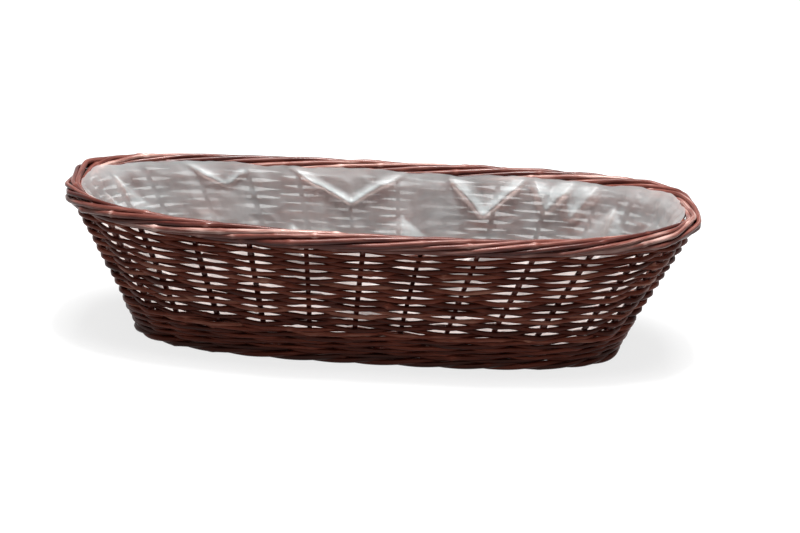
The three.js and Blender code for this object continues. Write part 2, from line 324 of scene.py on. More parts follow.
def add(tree, kind, inputs=None, stops=None, **settings):
    """Adds one node. Settings are its own properties, inputs go to its sockets as values or links, and stops
    are the colours of a ramp, the first two for the two that a new ramp has."""
    node = tree.nodes.new(kind)
    for key, value in settings.items():
        setattr(node, key, value)
    for key, value in (inputs or {}).items():
        if isinstance(value, bpy.types.NodeSocket):
            tree.links.new(value, node.inputs[key])
        else:
            node.inputs[key].default_value = value
    for place, (position, code) in enumerate(stops or ()):
        marks = node.color_ramp.elements
        mark = marks[place] if place < 2 else marks.new(position)
        mark.position = position
        mark.color = srgb(code)
    return node


# marks in a metre along a rod and across it, and the detail of their noise: streaks 25 mm long and 0.9 mm
# wide, patches 30 mm long, fine skin marks 3 mm long
ROD_MARKS = {"streak": (40.0, 1100.0, 3.0), "patch": (33.0, 160.0, 2.0), "skin": (320.0, 700.0, 2.0)}
# how much the marks and a rod's own tone count in its shade, and the level that is taken off
STREAK_PART = 0.65
PATCH_PART = 0.75
TONE_PART = 0.55
SHADE_LEVEL = 0.475
# roughness of the skin marks below and above the mean, and strengths and depth of the bumps
GLOSS_BELOW = 0.08
GLOSS_ABOVE = 0.12
STREAK_BUMP = 0.35
SKIN_BUMP = 0.30
BUMP_DEPTH = 0.0004


def rod_marks(tree):
    """Noises of the marks, stretched along each rod by its grain."""
    grain = add(tree, "ShaderNodeAttribute", attribute_name="grain").outputs["Vector"]
    marks = {}
    for name, (along, across, detail) in ROD_MARKS.items():
        place = add(tree, "ShaderNodeMapping", {"Vector": grain, "Scale": (along, across, across)})
        noise = add(tree, "ShaderNodeTexNoise", {"Vector": place.outputs[0], "Scale": 1.0, "Detail": detail})
        marks[name] = noise.outputs["Fac"]
    return marks


def stain_colour(tree, marks, shades, cut_shade):
    """Colour of the stain, from the streaks, the patches and each rod's tone, and of the cut ends."""
    tone = add(tree, "ShaderNodeAttribute", attribute_name="tone").outputs["Fac"]
    cut = add(tree, "ShaderNodeAttribute", attribute_name="cut").outputs["Fac"]
    shade = add(tree, "ShaderNodeMath", {0: marks["streak"], 1: STREAK_PART}, operation="MULTIPLY")
    for value, part in ((marks["patch"], PATCH_PART), (tone, TONE_PART)):
        inputs = {0: value, 1: part, 2: shade.outputs[0]}
        shade = add(tree, "ShaderNodeMath", inputs, operation="MULTIPLY_ADD")
    shade = add(tree, "ShaderNodeMath", {0: shade.outputs[0], 1: SHADE_LEVEL}, operation="SUBTRACT")
    stain = add(tree, "ShaderNodeValToRGB", {"Fac": shade.outputs[0]}, stops=shades)
    colours = {"Factor": cut, "A": stain.outputs["Color"], "B": srgb(cut_shade)}
    return add(tree, "ShaderNodeMix", colours, data_type="RGBA").outputs["Result"]


def stained_willow(name, shades, cut_shade, roughness, shine, lacquer):
    """Peeled willow, steamed brown, dipped in red-brown stain and lacquered: smooth skin with fine lengthwise
    streaks, slow light and dark patches along each rod, rods that differ from each other, and paler cut
    ends."""
    material = bpy.data.materials.new(name)
    tree = emptied(material)
    marks = rod_marks(tree)
    gloss = add(
        tree, "ShaderNodeMapRange",
        {"Value": marks["skin"], "To Min": roughness - GLOSS_BELOW, "To Max": roughness + GLOSS_ABOVE},
    )
    bump = add(
        tree, "ShaderNodeBump",
        {"Height": marks["streak"], "Strength": STREAK_BUMP, "Distance": BUMP_DEPTH},
    )
    bump = add(
        tree, "ShaderNodeBump",
        {"Height": marks["skin"], "Strength": SKIN_BUMP, "Distance": BUMP_DEPTH, "Normal": bump.outputs[0]},
    )
    shader = add(
        tree, "ShaderNodeBsdfPrincipled",
        {
            "Base Color": stain_colour(tree, marks, shades, cut_shade),
            "Roughness": gloss.outputs[0],
            "Normal": bump.outputs[0],
            "IOR": 1.5,
            "Specular IOR Level": shine,
            "Specular Tint": srgb("#ffcfc0"),
            "Coat Weight": lacquer,
            "Coat Roughness": 0.16,
        },
    )
    add(tree, "ShaderNodeOutputMaterial", {"Surface": shader.outputs[0]})
    return material


def polythene_film(name):
    """Blown polythene film, milky clear: it lets the weave behind it show, scatters some light through, and
    has a soft gloss that draws bright lines along its creases. Where it lies double it is whiter."""
    material = bpy.data.materials.new(name)
    tree = emptied(material)
    place = add(tree, "ShaderNodeTexCoord").outputs["Object"]
    # crinkles about 6 mm across
    crinkle = add(tree, "ShaderNodeTexNoise", {"Vector": place, "Scale": 160.0, "Detail": 3.0})
    bump = add(
        tree, "ShaderNodeBump", {"Height": crinkle.outputs["Fac"], "Strength": 0.18, "Distance": 0.0015}
    )
    skin = add(
        tree, "ShaderNodeBsdfPrincipled",
        {
            "Base Color": srgb("#d0dbdc"),
            "Roughness": 0.30,
            "IOR": 1.51,
            "Specular IOR Level": 0.36,
            "Normal": bump.outputs[0],
        },
    )
    # the warm pink of the light let through is a painted reflection of light bounced off the red rods
    glow = add(tree, "ShaderNodeBsdfTranslucent", {"Color": srgb("#fff0eb"), "Normal": bump.outputs[0]})
    clear = add(tree, "ShaderNodeBsdfTransparent")
    double = add(tree, "ShaderNodeAttribute", attribute_name="tone").outputs["Fac"]
    through = add(tree, "ShaderNodeMapRange", {"Value": double, "To Min": 0.68, "To Max": 0.44})
    milky = add(tree, "ShaderNodeMixShader", {0: through.outputs[0], 1: skin.outputs[0], 2: glow.outputs[0]})
    # haze patches about 60 mm across
    patch = add(tree, "ShaderNodeTexNoise", {"Vector": place, "Scale": 16.0, "Detail": 1.0})
    haze = add(
        tree, "ShaderNodeMapRange",
        {"Value": patch.outputs["Fac"], "From Min": 0.40, "From Max": 0.60, "To Min": 0.79, "To Max": 0.96},
    )
    haze = add(tree, "ShaderNodeMath", {0: haze.outputs[0], 1: double}, operation="MAXIMUM")
    shader = add(tree, "ShaderNodeMixShader", {0: haze.outputs[0], 1: clear.outputs[0], 2: milky.outputs[0]})
    add(tree, "ShaderNodeOutputMaterial", {"Surface": shader.outputs[0]})
    return material


# place on the ramp and colour: the darkest and the palest shade, then those between
# the stakes' paler shades are greyish pink: partly pale streaks, partly painted sheen of the lacquer on the
# border
STAKE_SHADES = ((0.05, "#260705"), (0.95, "#c8a59b"), (0.35, "#42130d"), (0.65, "#744239"))
WEAVE_SHADES = ((0.05, "#220805"), (0.95, "#a87462"), (0.35, "#44170d"), (0.65, "#72382a"))
BASE_SHADES = ((0.05, "#250805"), (0.95, "#642818"), (0.35, "#3a110a"), (0.65, "#4c1a10"))
stake_willow = stained_willow(
    "stained_willow_stakes", STAKE_SHADES, cut_shade="#7a4b31", roughness=0.31, shine=0.14, lacquer=0.27
)
weave_willow = stained_willow(
    "stained_willow_weave", WEAVE_SHADES, cut_shade="#6d3f2a", roughness=0.38, shine=0.18, lacquer=0.0
)
base_willow = stained_willow(
    "stained_willow_base", BASE_SHADES, cut_shade="#6d3f2a", roughness=0.42, shine=0.15, lacquer=0.0
)
liner_film = polythene_film("milky_polythene_film")


# Base: where each stake's tail lies beside the end of a stick

CROSS_STICK_RADIUS = 0.0038
LONG_STICK_RADIUS = 0.0019
LONG_PITCH = 0.0049
FAN_START = 0.012
TAIL_GAP = 0.0003
STICK_SETBACK = 0.0035


def turned(vector, angle):
    """A vector turned about the upright axis."""
    c, s = math.cos(angle), math.sin(angle)
    return np.array([c * vector[0] - s * vector[1], s * vector[0] + c * vector[1], vector[2]])


FEET = base_oval(STATIONS)
LAST_CROSS = max(FEET[i][0] for i in range(STAKES) if i % HALF_STAKES >= END_STAKES)


def rib(index):
    """The stick at a stake and the stake's tail beside it: the corner where the stake turns up, the point
    that the stick aims at, directions inward and sideways, and the stick's distance, radius and end."""
    corner = FEET[index]
    is_side = index % HALF_STAKES >= END_STAKES
    radius = CROSS_STICK_RADIUS if is_side else LONG_STICK_RADIUS
    beside = radius + STAKE_RADIUS + TAIL_GAP
    rank = index % HALF_STAKES - (END_STAKES - 1) / 2.0
    end = math.copysign(1.0, corner[0])
    fan = np.array([end * (LAST_CROSS + FAN_START), end * rank * LONG_PITCH, BASE_HEIGHT])
    aim = np.array([corner[0], 0.0, BASE_HEIGHT]) if is_side else fan
    far = np.linalg.norm(aim - corner)
    inward = turned((aim - corner) / far, math.asin(beside / far))
    sideways = np.cross(inward, UP)
    stick_end = corner + inward * STICK_SETBACK + sideways * beside
    return {"corner": corner, "aim": aim, "inward": inward, "sideways": sideways, "beside": beside,
            "radius": radius, "stick_end": stick_end}


RIBS = [rib(i) for i in range(STAKES)]


# Stakes, with sizes in metres

STAKE_TAIL = 0.015
TAIL_START = 0.001
TAIL_POINTS = 8
UPRIGHT_POINTS = 60
STAKE_BOW = 0.0008
STAKE_SPACING = 0.0018
STAKE_WINDOW = 0.011
STAKE_THICKNESS = (0.84, 1.15)
STRAND_RADIUS = 0.00242
# share of the upright below its middle, and points of the run in which the strand gets its radius
UPRIGHT_MIDDLE = 0.6
STRAND_START = 8
# radius and tone at the tail's end, the middle of the upright, the start of the strand and the tip
# the lower tones of the tail and the upright are painted shade, under the base and inside the weave
STAKE_RADII = (STAKE_RADIUS * 1.08, STAKE_RADIUS * 1.05, STRAND_RADIUS, STRAND_RADIUS * 0.94)
STAKE_PAINTED_SHADE = (-0.6, -0.5, 0.0, 0.0)
# radius of the border at the uprights and of its roll, stakes passed, and gaps more to the tip
BORDER_RADIUS = 0.007
ROLL_RADIUS = 0.0060
BORDER_RUN = 6
TIP_RUN = (2.0, 2.5)
# share of the reach that is left as the tip dives, at two numbers of gaps
TIP_DIVE = ((BORDER_RUN + 0.3, BORDER_RUN + 1.0), (1.0, 0.1))
# looseness of the border at two distances from the middle, and waves in gaps and heights of its drifts
END_LOOSENESS = ((0.22, 0.28), (1.0, 1.6))
TURN_DRIFT = (5.0, 0.20)
REACH_DRIFT = (3.0, 0.0008)
# gaps between bends, bends drawn for a rod, and how far it is drawn to the straight lines between them
BEND_GAPS = (0.8, 1.5)
BENDS = 14
STRAIGHTNESS = 0.6
# rods that kink up or bulge outward by so much, at so many gaps from their start and over so many gaps
KINKS = {0: 0.0015, 6: 0.0012, 12: 0.0022, 18: 0.0014, 25: 0.0012}
KINK_PLACE = 3.6
KINK_WIDTH = 0.35
BULGES = {28: 0.004, 13: 0.002, 21: 0.002}
BULGE_PLACE = 2.0
BULGE_WIDTH = 0.7


def border_path(index):
    """Run of a stake along the border, and the outward direction at each point: a helix round the line of the
    tops, one turn in seven gaps, that starts under the border and goes out, over and in, and its tip dives
    into the core. Between its bends it runs straighter than the helix. A few rods kink up over the top or
    bulge outward, each by a bell curve."""
    last = BORDER_RUN + rng.uniform(*TIP_RUN)
    count = np.linspace(0.0, last, int(last * GAP_STEPS))
    _, top, up, out, _ = wall(station(index + count))
    passed = count[:, None]
    ease = clamped(passed)
    loose = ease * np.interp(np.abs(top[:, :1]), *END_LOOSENESS)
    angle = 2.0 * np.pi * passed / (BORDER_RUN + 1) + loose * wander(passed, *TURN_DRIFT)
    reach = BORDER_RADIUS + (ROLL_RADIUS - BORDER_RADIUS) * ease + loose * wander(passed, *REACH_DRIFT)
    reach = reach * np.interp(passed, *TIP_DIVE)
    bulge = BULGES.get(index, 0.0) * bell(passed - BULGE_PLACE, BULGE_WIDTH)
    rise = KINKS.get(index, 0.0) * bell(passed - KINK_PLACE, KINK_WIDTH)
    points = top - up * reach * np.cos(angle) + out * (reach * np.sin(angle) + bulge) + UP * rise
    bends = np.cumsum(rng.uniform(*BEND_GAPS, BENDS)) - BEND_GAPS[0]
    bends = np.append(bends[bends < last], last)
    chords = between(count, bends, between(bends, count, points))
    return points + STRAIGHTNESS * ease * (chords - points), out


def stake_normals(path, along, middle, run_start, run_out):
    """Directions that a stake's rings count from: square to it in the plane of its tail and upright, and
    higher up the outward directions of its run along the border."""
    number = np.arange(len(path))
    lower = np.cross(-along, unit(np.gradient(path, axis=0)))
    done = np.clip(number - run_start, 0, None) / (len(path) - run_start - 1)
    upper = between(done * (len(run_out) - 1), np.arange(len(run_out)), run_out)
    return np.where(number[:, None] < middle, lower, upper)


def stake(index):
    """A stake: tail in the base, upright on its wall line, and run along the border, tapering to its tip."""
    foot, _, up, out, slope = (v[0] for v in wall([STATIONS[index]]))
    along = np.cross(up, out)
    inside = np.linspace(STAKE_TAIL, TAIL_START, TAIL_POINTS)[:, None]
    tail = RIBS[index]["corner"] + RIBS[index]["inward"] * inside
    height = np.linspace(0.0, slope[0] - BORDER_RADIUS, UPRIGHT_POINTS)[:, None]
    bow = STAKE_BOW * np.sin(np.pi * height / slope[0]) * rng.uniform(-1.0, 1.0)
    upright = foot + up * height - along * bow
    run, run_out = border_path(index)
    path = resampled(np.concatenate([tail, upright, run[1:]]), STAKE_SPACING, STAKE_WINDOW)
    size = len(path)
    whole = run_length(path)[-1]
    middle = int(size * (STAKE_TAIL + UPRIGHT_MIDDLE * slope[0]) / whole)
    run_start = int(size * (STAKE_TAIL + slope[0]) / whole)
    normal = stake_normals(path, along, middle, run_start, run_out)
    share = np.arange(size) / (size - 1.0)
    places = np.array([0.0, middle, run_start + STRAND_START, size]) / size
    radius = rng.uniform(*STAKE_THICKNESS) * np.interp(share, places, STAKE_RADII)
    # painted shade: the tail and the upright are darker than the run along the border
    tone = rng.uniform(0.0, 1.0) + np.interp(share, places, STAKE_PAINTED_SHADE)
    return rod(path, normal, radius, tone)


for index in range(STAKES):
    add_willow(numbered("stake", index), stake(index), stake_willow, "willow_stakes")


# Side weave and wale, with sizes in metres

# how far a row's ends stop short of its first stake, in gaps
ROW_END = 0.04
# thickness at places along a rod, and a factor on it at distances from the planter's middle
ROW_TAPER = ((0.0, 0.15, 1.0), (1.10, 1.07, 0.88))
END_FLATTENING = ((0.19, 0.26), (1.0, 1.13))
WEAVER_RADIUS = 0.0022
WEAVER_THICKNESS = (0.88, 1.13)
WEAVER_REACH = 0.0043
WEAVER_ROWS = 22
WEAVE_START = 0.0322
WEAVE_END = 0.0112
# waves in gaps and heights of the drifts of a row
WEAVER_SLOW = (9.0, 0.0007)
WEAVER_QUICK = (2.6, 0.0010)
WALE_SLOW = (7.0, 0.0008)
WALE_QUICK = (2.2, 0.0009)
WALE_RADIUS = 0.0021
WALE_THICKNESS = (0.88, 1.16)
WALE_REACH = 0.0047
WALE_START = 0.0010
WALE_PITCH = 0.0025
WALE_ROWS = 12
# rows that a stroke lies above its level at the stakes that it passes
WALE_LIFTS = (0.75, -0.15, 0.05)
WALE_STROKE = len(WALE_LIFTS)
# the first row that drifts in full, and how much darker the lowest row is: painted shade towards the foot
WALE_LOOSE = 3.0
WALE_PAINTED_SHADE = 0.5


def row_rod(start, height_of, side_of, reach, radius, tone):
    """One rod of a row: from the inside of its first stake once round, with the height up the wall and the
    side of each stake given by functions of the stake number. It swings in and out on the level, and is a
    little thicker round the tight ends, where rods flatten against the stakes."""
    count = np.linspace(start + ROW_END, start + STAKES - ROW_END, STAKES * GAP_STEPS + 1)
    foot, _, up, out, slope = wall(station(count))
    outward = reach * eased(side_of, count)
    path = foot + up * height_of(count, slope[:, 0])[:, None] + unit(out * LEVEL) * outward[:, None]
    taper = np.interp(np.linspace(0.0, 1.0, len(count)), *ROW_TAPER)
    flattened = np.interp(np.abs(path[:, 0]), *END_FLATTENING)
    return rod(path, up, radius * taper * flattened, tone)


def weaver(row):
    """A row of the randing: in front of one stake and behind the next, the rows spread evenly up to the
    border."""
    first = row % 2
    start = 2 * rng.integers(0, HALF_STAKES) + 1 - first
    shift = rng.uniform(0.0, 100.0)

    def height_of(count, slope):
        even = WEAVE_START + (slope - WEAVE_END - WEAVE_START) * row / (WEAVER_ROWS - 1.0)
        return even + wander(count + shift, *WEAVER_SLOW) + wander(count, *WEAVER_QUICK)

    def side_of(number):
        return np.where(np.mod(number + first, 2) == 0, 1.0, -1.0)

    thick = WEAVER_RADIUS * rng.uniform(*WEAVER_THICKNESS)
    return row_rod(start, height_of, side_of, WEAVER_REACH, thick, rng.uniform(0.0, 1.0))


def wale(row):
    """A row of the wale: in front of two stakes and behind one, each stroke rising a little as it comes
    forward. The lowest rows keep closer to their level, and painted shade darkens the rows towards the foot."""
    first = row % WALE_STROKE
    start = SEAM_STAKE + (1 - first) % WALE_STROKE + WALE_STROKE * rng.integers(0, STAKES // WALE_STROKE)

    def stroke_at(number):
        return np.mod(number - SEAM_STAKE + first, WALE_STROKE).astype(int)

    def height_of(count, _):
        lift = eased(lambda number: np.choose(stroke_at(number), WALE_LIFTS), count)
        drift = wander(count, *WALE_SLOW) + wander(count, *WALE_QUICK)
        return WALE_START + WALE_PITCH * (row + lift) + min(row / WALE_LOOSE, 1.0) * drift

    def side_of(number):
        return np.where(stroke_at(number) == 1, -1.0, 1.0)

    thick = WALE_RADIUS * rng.uniform(*WALE_THICKNESS)
    # painted shade: the lower rows of the wale are darker
    tone = rng.uniform(0.0, 1.0) - WALE_PAINTED_SHADE * (1.0 - row / (WALE_ROWS - 1.0))
    return row_rod(start, height_of, side_of, WALE_REACH, thick, tone)


weavers = [weaver(row) for row in range(WEAVER_ROWS)]
for first in range(2):
    add_willow(numbered("side_weaver", first), joined(weavers[first::2]), weave_willow, "willow_weave")

wales = [wale(row) for row in range(WALE_ROWS)]
for first in range(WALE_STROKE):
    add_willow(numbered("wale_rod", first), joined(wales[first::WALE_STROKE]), weave_willow, "willow_weave")


# Foot, with sizes in metres

FOOT_STRANDS = 3
FOOT_RADIUS = 0.0028
FOOT_OUT = 0.0024
FOOT_TWIST = 0.0029
FOOT_HEIGHT = 0.0052
# the twist's height as a share of its width
FOOT_LOWNESS = 0.7
FOOT_DRIFT = (5.0, 0.0003)
# painted shade: how much darker the foot rods are, down by the floor
FOOT_PAINTED_SHADE = 0.6
FOOT_END = 0.02
FOOT_GAP_STEPS = 16


def foot_rod(strand):
    """One of three rods twisted round the base line: a helix with one turn in three gaps between stakes. Its
    ends meet where it lies on the inner side, and it is worn flat where it stands on the floor."""
    start = SEAM_STAKE + FOOT_STRANDS / 2.0 - strand
    count = np.linspace(start + FOOT_END, start + STAKES - FOOT_END, STAKES * FOOT_GAP_STEPS + 1)
    share = station(count)
    ahead = base_oval(share + OVAL_STEP) - base_oval(share - OVAL_STEP)
    out = unit(np.cross(ahead, UP))
    turn = 2.0 * np.pi * (strand + count - SEAM_STAKE) / FOOT_STRANDS
    reach = FOOT_OUT + FOOT_TWIST * np.cos(turn) + wander(count, *FOOT_DRIFT)
    path = base_oval(share) + out * reach[:, None]
    path[:, 2] = FOOT_HEIGHT + FOOT_LOWNESS * FOOT_TWIST * np.sin(turn)
    # painted shade: the foot rods are darker than the weave above them
    surface = rod(path, UP, FOOT_RADIUS, rng.uniform(0.0, 1.0) - FOOT_PAINTED_SHADE)
    surface["points"][:, 2] = np.maximum(surface["points"][:, 2], 0.0)
    return surface


for strand in range(FOOT_STRANDS):
    add_willow(numbered("foot_rod", strand), foot_rod(strand), weave_willow, "willow_weave")


# Base sticks and their weave, with sizes in metres

# half of a cross stick: its round radius and flattening, its lift where the stick is whole, and what is added
# where it is open
HALF_RADIUS = 0.0030
HALF_SHAPE = np.array([1.2, 1.0, 0.62])
HALF_SIDES = 10
HALF_POINTS = 60
HALF_TONE = 0.5
HALF_LIFT = 0.0018
OPEN_LIFT = 0.0017
# distance from the long axis at which the opening ends, and the distance in which it grows
OPENING_HALF = 0.034
OPENING_EASE = 0.018
# spacing and smoothing window of the long sticks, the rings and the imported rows
LONG_SMOOTHING = (0.004, 0.02)
RING_SMOOTHING = (0.002, 0.012)
PACK_SMOOTHING = (0.002, 0.010)
BASE_WEAVER_RADIUS = 0.0016
RING_EDGE = 0.0098
RING_PITCH = 0.0037
RING_OVER_TAIL = 0.0024
RING_OVER_STICK = 0.0022
PACK_ROWS = 8
PACK_START = 0.0144
PACK_GAP = 0.0016
PACK_OVER = 0.0004
PACK_LEVEL = CROSS_STICK_RADIUS + BASE_WEAVER_RADIUS + PACK_OVER
# where a packed row turns back: how far past the stick, and at which shares of its level
PACK_TURN = 1.05
PACK_TURN_LEVELS = (0.6, -0.6)
PACK_NORMAL = np.array([0.0, 1.0, 0.3])


def cross_stick(index):
    """A stick split open in the middle: two half sticks, one above the long sticks and one below, that meet
    at both ends. Each half is a rod flattened to half the stick's height."""
    back = RIBS[END_STAKES + index]["stick_end"]
    front = RIBS[STAKES - 1 - index]["stick_end"]
    line = back + (front - back) * np.linspace(0.0, 1.0, HALF_POINTS)[:, None]
    inside = clamped((OPENING_HALF - np.abs(line[:, 1:2])) / OPENING_EASE)
    opening = 0.5 - 0.5 * np.cos(np.pi * inside)
    halves = []
    for sign in (1.0, -1.0):
        path = line + UP * sign * (HALF_LIFT + OPEN_LIFT * opening)
        half = rod(path, UP, HALF_RADIUS, HALF_TONE, HALF_SIDES)
        centre = np.concatenate([path[:1], path, path[-1:]]).repeat(HALF_SIDES, axis=0)
        centre = np.concatenate([centre, path[[0, -1]]])
        half["points"] = centre + (half["points"] - centre) * HALF_SHAPE
        halves.append(half)
    return joined(halves)


def long_stick(index):
    """A stick through the cross sticks, straight between them and spread at both ends."""
    right = RIBS[index]
    left = RIBS[HALF_STAKES + END_STAKES - 1 - index]
    corners = np.array([right["stick_end"], right["aim"], left["aim"], left["stick_end"]])
    return rod(resampled(corners, *LONG_SMOOTHING), UP, LONG_STICK_RADIUS, rng.uniform(0.0, 1.0))


def base_ring(first):
    """A rod round the edge of the base, over one rib and under the next."""
    points = []
    for k in range(STAKES):
        place = RIBS[(k + SEAM_STAKE) % STAKES]
        over = 1.0 if (k + first) % 2 == 0 else -1.0
        tail = place["corner"] + place["inward"] * (RING_EDGE + RING_PITCH * (1 - first))
        beside = tail + place["sideways"] * place["beside"]
        points.append(tail + UP * over * (STAKE_RADIUS + RING_OVER_TAIL))
        points.append(beside + UP * over * (place["radius"] + RING_OVER_STICK))
    path = resampled(np.array(points), *RING_SMOOTHING)
    return rod(path, unit(-path * LEVEL), BASE_WEAVER_RADIUS, rng.uniform(0.0, 1.0))


def base_packing(side):
    """A rod that goes to and fro over and under the cross sticks, turning round the last one."""
    points = []
    sticks = RIBS[END_STAKES:HALF_STAKES]
    for row in range(PACK_ROWS):
        order = sticks if row % 2 == 0 else sticks[::-1]
        for j, place in enumerate(order):
            far = place["corner"][1] - RING_EDGE - 2.0 * RING_PITCH - PACK_GAP
            across = side * (PACK_START + (far - PACK_START) * row / (PACK_ROWS - 1.0))
            x = place["aim"][0] + place["inward"][0] / place["inward"][1] * across
            over = 1.0 if (j + row * len(sticks)) % 2 == 0 else -1.0
            points.append([x, across, BASE_HEIGHT + over * PACK_LEVEL])
        travel = -1.0 if row % 2 == 0 else 1.0
        x, y, z = points[-1]
        for share in PACK_TURN_LEVELS if row < PACK_ROWS - 1 else ():
            turn_x = x + travel * PACK_LEVEL * PACK_TURN
            turn_y = y + side * RING_PITCH * (1.0 - share) / 2.0
            points.append([turn_x, turn_y, BASE_HEIGHT + (z - BASE_HEIGHT) * share])
    path = resampled(np.array(points), *PACK_SMOOTHING)
    return rod(path, PACK_NORMAL, BASE_WEAVER_RADIUS, rng.uniform(0.0, 1.0))


for index in range(SIDE_STAKES):
    add_willow(numbered("cross_stick", index), cross_stick(index), base_willow, "willow_base")
for index in range(END_STAKES):
    add_willow(numbered("long_stick", index), long_stick(index), base_willow, "willow_base")
for first in range(2):
    add_willow(numbered("base_weaver", first), base_ring(first), base_willow, "willow_base")
for side, name in ((1.0, "base_packing_back"), (-1.0, "base_packing_front")):
    add_willow(name, base_packing(side), base_willow, "willow_base")


# Liner, with sizes in metres

LINER_COLUMNS = 640
FLOOR_ROWS = 14
WALL_ROWS = 64
LINER_INSET = 0.0082
LINER_FLOOR = 0.0176
LINER_TOP = -0.0014
# the first wall row lies this far up from the floor along the wall, and this high above it
HEM_START = 0.001
HEM_LIFT = 0.0004
# depth to which the film lies against the border, depth in which folds then grow, and their share at the edge
EDGE_HELD = 0.002
EDGE_EASE = 0.012
EDGE_FOLDS = 0.1
# waves along the rim and heights of the drifts of the top edge, and how much higher it is at the ends
EDGE_SLOW = (0.16, 0.0016)
EDGE_QUICK = (0.05, 0.0008)
EDGE_END_RISE = 0.0010
# the top edge looks turned over, a painted highlight line: to this depth, with this easing, and so far double
TURNED_HIGHLIGHT_DEPTH = 0.003
TURNED_HIGHLIGHT_EASE = 0.001
TURNED_HIGHLIGHT_LAYER = 0.5
# step in past the border: its height, and the depth at which it ends and its easing
STEP_HEIGHT = 0.0016
STEP_DEPTH = 0.024
STEP_EASE = 0.014
# waves along the rim: lengths and heights of those that grow to the top and of those that don't
WIDE_WAVE = 0.11
WIDE_HEIGHT = 0.0018
LOW_WAVE = 0.043
LOW_HEIGHT = 0.0006
# pleats at the ends: number in one round, and height
PLEATS = 34.0
PLEAT_HEIGHT = 0.0022
# share of the way round, depth of the point, half width at the top edge, height of the fold
V_FOLDS = (
    (0.268, 0.036, 0.062, 0.0065), (0.162, 0.042, 0.040, 0.0080), (0.113, 0.034, 0.021, 0.0075),
    (0.092, 0.040, 0.018, 0.0065), (0.365, 0.026, 0.040, 0.0035), (0.600, 0.040, 0.030, 0.0080),
    (0.690, 0.036, 0.045, 0.0080), (0.800, 0.040, 0.040, 0.0090), (0.900, 0.036, 0.030, 0.0080),
)
# V folds: widths of the slopes above and below the crease, reach past the point, fading, most doubling
V_ABOVE = 0.011
V_BELOW = 0.0045
V_REACH = 1.1
V_FADE = 0.006
V_LAYER = 0.85
# share of the way round, depth of the peak, half width gained per depth, height of the fold
TENT_FOLDS = (
    (0.2275, 0.044, 1.40, 0.0075), (0.452, 0.010, 0.75, 0.0085), (0.476, 0.022, 0.80, 0.0055),
    (0.060, 0.022, 0.80, 0.0080), (0.320, 0.060, 0.90, 0.0080), (0.560, 0.030, 0.60, 0.0080),
    (0.745, 0.050, 1.20, 0.0100),
)
# tents: depths in which the width and the height grow, depth of the end, fading, most doubling
TENT_WIDENING = (0.0005, 0.04)
TENT_GROWTH = 0.012
TENT_END = 0.115
TENT_FADE = 0.03
TENT_LAYER = 0.6
# fine crinkles: directions in radians, spacing, height and sharpness, their share at the floor, and waves and
# heights of the drifts that bend them
CRINKLE_ANGLES = (0.4, 1.1, 2.0, 2.7)
CRINKLE_SPACING = 0.030
CRINKLE_HEIGHT = 0.0007
CRINKLE_SHARPNESS = 2.6
CRINKLE_LOW = 0.25
CRINKLE_WALK_DRIFT = (0.13, 0.4)
CRINKLE_DEPTH_DRIFT = (0.06, 0.3)
# ripple of the floor: its height and its lengths along and across
RIPPLE_HEIGHT = 0.0006
RIPPLE_ALONG = 0.013
RIPPLE_ACROSS = 0.017


def walk_from(place, share):
    """Distance along the rim from a place to the shares of the way round, the shorter way, with its sign."""
    return ((share - place + 0.5) % 1.0 - 0.5) * rim_length


def v_folds(share, depth):
    """Relief of the folds that meet in a V under the top edge, steep below and flatter above, and how far the
    film lies double above their creases."""
    relief = np.zeros_like(depth)
    doubled = np.zeros_like(depth)
    for place, point, half_width, height in V_FOLDS:
        inside = half_width * (1.0 - depth / point) - np.abs(walk_from(place, share))
        slant = half_width / np.hypot(half_width, point)
        facet = np.where(inside > 0.0, 1.0 - inside / (V_ABOVE / slant), 1.0 + inside / (V_BELOW / slant))
        facet = clamped(facet) * clamped((point * V_REACH - depth) / V_FADE)
        relief = relief + height * facet
        layer = np.clip(4.0 * facet - 1.0, 0.0, V_LAYER)
        doubled = np.maximum(doubled, np.where(inside > 0.0, layer, 0.0))
    return relief, doubled


def tent_folds(share, depth):
    """Relief of the folds that spread down from a peak, and how far the film lies double on one side."""
    relief = np.zeros_like(depth)
    doubled = np.zeros_like(depth)
    for place, peak, spread, height in TENT_FOLDS:
        off = walk_from(place, share)
        width = spread * np.clip(depth - peak, *TENT_WIDENING)
        lasting = clamped((depth - peak) / TENT_GROWTH) * clamped((TENT_END - depth) / TENT_FADE)
        ridge = clamped(1.0 - np.abs(off) / width) * lasting
        relief = relief + height * ridge
        layer = np.clip(3.0 * ridge, 0.0, TENT_LAYER)
        doubled = np.maximum(doubled, np.where(off < 0.0, layer, 0.0))
    return relief, doubled


def crinkles(walk, depth):
    """Relief of the fine crinkles: sharp ridges in four directions, each bent by a drift."""
    relief = np.zeros_like(depth)
    for angle in CRINKLE_ANGLES:
        ray = np.cos(angle) * walk + np.sin(angle) * depth
        drift = wander(walk, *CRINKLE_WALK_DRIFT) + wander(depth, *CRINKLE_DEPTH_DRIFT)
        wave = ray / CRINKLE_SPACING + drift
        relief = relief + clamped(1.0 - CRINKLE_SHARPNESS * np.abs(wave - np.round(wave)))
    return CRINKLE_HEIGHT * relief


